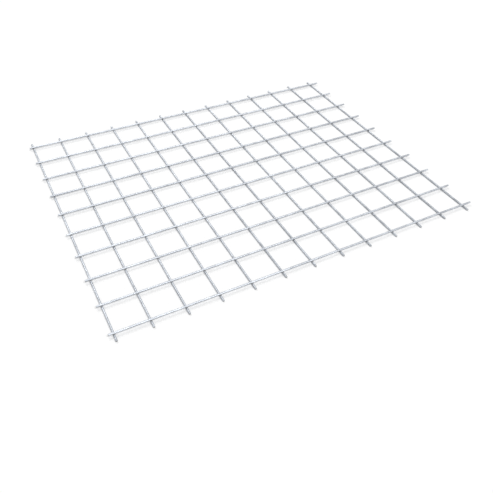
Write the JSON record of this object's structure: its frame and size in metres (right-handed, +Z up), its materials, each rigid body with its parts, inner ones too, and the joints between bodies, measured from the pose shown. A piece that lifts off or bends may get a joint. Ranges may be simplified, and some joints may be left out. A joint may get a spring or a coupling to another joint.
{
  "type": "welded wire mesh panel",
  "caption": "Flat rectangular sheet of square welded wire mesh: long wires lie across cross wires, are welded where they cross, and stand a little past the outer welds.",
  "frame": {"origin": "under the middle of the panel's outline, on the surface that the panel lies on", "axes": "+X along the long wires, to the right along the front edge; +Y along the cross wires, away from the front edge; +Z up"},
  "size_m": [0.6244, 0.4786, 0.0055],
  "materials": {
    "zinc_coated_wire": "bright drawn steel wire with a thin zinc coat, duller at the welds"
  },
  "bodies": {
    "root": {"wire_mesh_panel": "zinc_coated_wire"}
  },
  "joints": []
}
